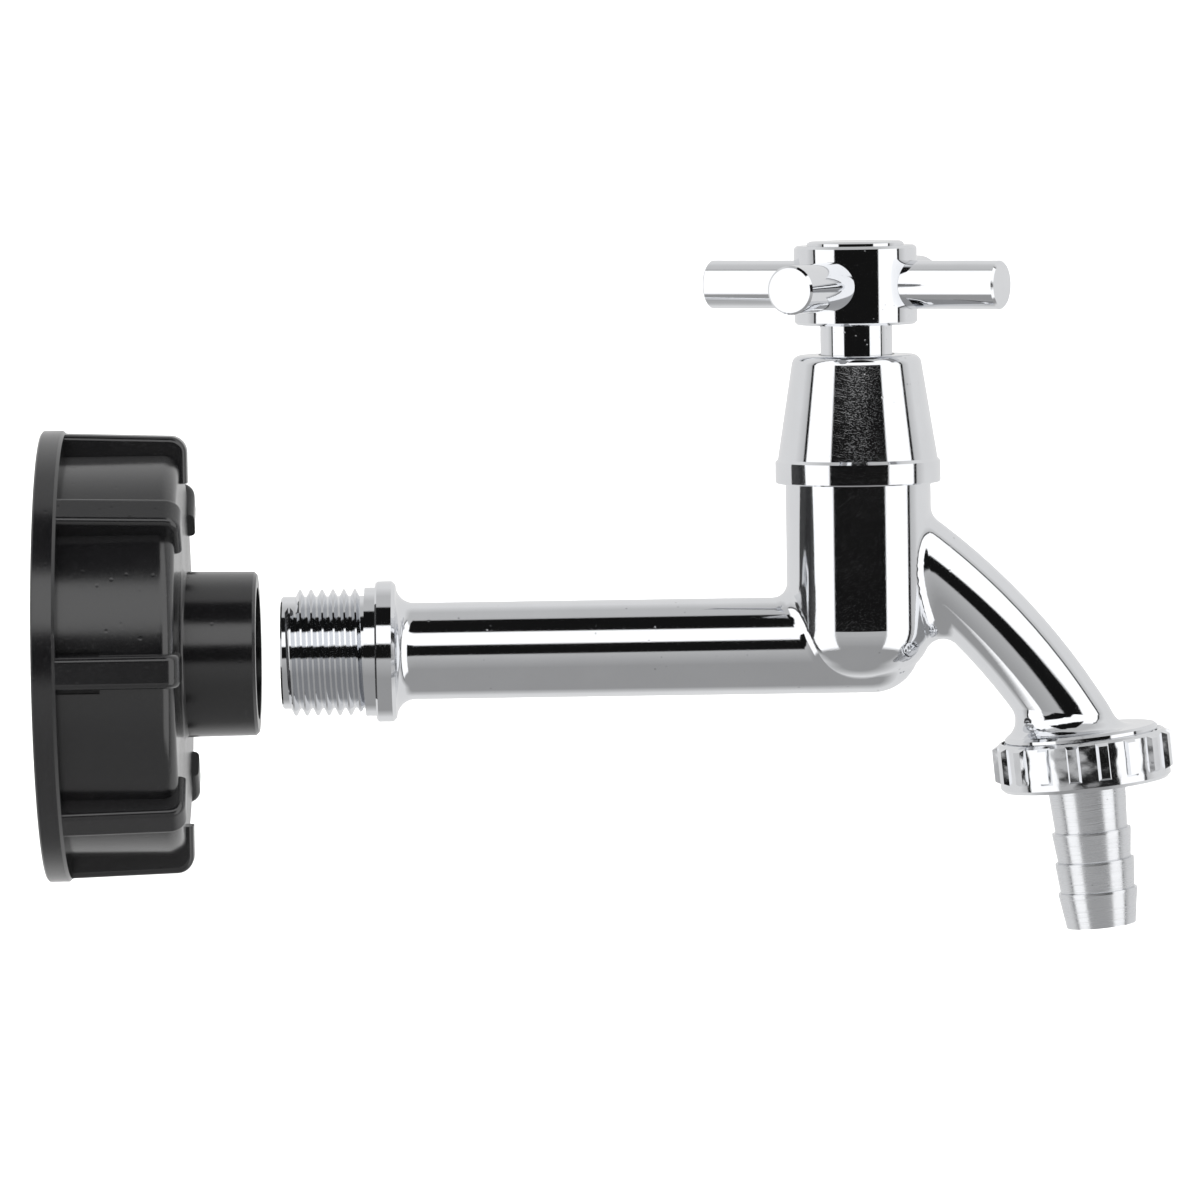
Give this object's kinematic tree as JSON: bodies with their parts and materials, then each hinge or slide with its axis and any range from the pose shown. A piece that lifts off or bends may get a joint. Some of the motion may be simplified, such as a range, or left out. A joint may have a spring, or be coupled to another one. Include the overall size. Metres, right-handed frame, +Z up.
{
  "type": "hose bib",
  "caption": "Long-shank chromed hose bib with a cross handle, curved spout, ribbed union nut and barbed hose tail, with a screw-on black tank adapter.",
  "frame": {"origin": "on the inlet shank's axis, in the flange's sealing face", "axes": "+X along the shank from the inlet thread towards the valve, +Z up along the spindle, the spout falling towards +X"},
  "size_m": [0.1865, 0.0746, 0.1144],
  "materials": {
    "chrome": "polished chrome plate over cast brass",
    "cover_chrome": "polished chrome plate over pressed brass",
    "handle_chrome": "polished chrome plate over turned metal",
    "nut_chrome": "chrome plate over a rougher casting",
    "tail_metal": "satin plated, turned",
    "brass": "machined",
    "steel": "stainless",
    "rubber": "matt black nitrile",
    "fibre": "red vulcanised fibre",
    "ptfe": "white low-friction plastic",
    "black_plastic": "moulded, half gloss"
  },
  "bodies": {
    "tap": {"tap_body": "chrome", "headwork_body": "brass", "headwork_gasket": "fibre", "bonnet_cover": "cover_chrome", "thrust_washer": "ptfe"},
    "handle": {"handle_hub": "handle_chrome", "handle_arm_1": "handle_chrome", "handle_arm_2": "handle_chrome", "handle_arm_3": "handle_chrome", "handle_arm_4": "handle_chrome", "handle_screw": "steel", "index_cap": "handle_chrome", "spindle": "brass", "spindle_o_rings": "rubber", "retaining_clip": "steel"},
    "valve": {"valve_carrier": "brass", "valve_washer": "rubber", "washer_nut": "brass"},
    "outlet_seal": {"outlet_washer": "rubber"},
    "nut": {"union_nut": "nut_chrome"},
    "tail": {"hose_tail": "tail_metal"},
    "tank_seal": {"tank_gasket": "rubber"},
    "adapter": {"adapter_cap": "black_plastic"}
  },
  "joints": [
    {"name": "handle_turn", "type": "hinge", "parent": "tap", "child": "handle", "pos_m": [0.08, 0, 0.0594], "axis": [0, 0, 1], "range_deg": [0, 900]},
    {"name": "valve_lift", "type": "slide", "parent": "tap", "child": "valve", "axis": [0, 0, 1], "range_m": [0, 0.00501]},
    {"name": "outlet_slide", "type": "slide", "parent": "tap", "child": "outlet_seal", "axis": [0.0958, 0, -0.9954], "range_m": [0, 0.00908]},
    {"name": "nut_turn", "type": "hinge", "parent": "outlet_seal", "child": "nut", "pos_m": [0.11679, 0, -0.01961], "axis": [0.0958, 0, -0.9954], "range_deg": [0, 1800]},
    {"name": "tail_swivel", "type": "hinge", "parent": "outlet_seal", "child": "tail", "pos_m": [0.11833, 0, -0.03554], "axis": [0.0958, 0, -0.9954], "continuous": true},
    {"name": "adapter_slide", "type": "slide", "parent": "tap", "child": "tank_seal", "axis": [1, 0, 0], "range_m": [0, 0.0195]},
    {"name": "adapter_turn", "type": "hinge", "parent": "tank_seal", "child": "adapter", "pos_m": [-0.04, 0, 0], "axis": [1, 0, 0], "range_deg": [0, 3869]}
  ],
  "couplings": [
    {"joint": "valve_lift", "follows": "handle_turn", "m_per_rad": 0.00031831},
    {"joint": "outlet_slide", "follows": "nut_turn", "m_per_rad": 0.00028875},
    {"joint": "adapter_slide", "follows": "adapter_turn", "m_per_rad": 0.00028875}
  ]
}
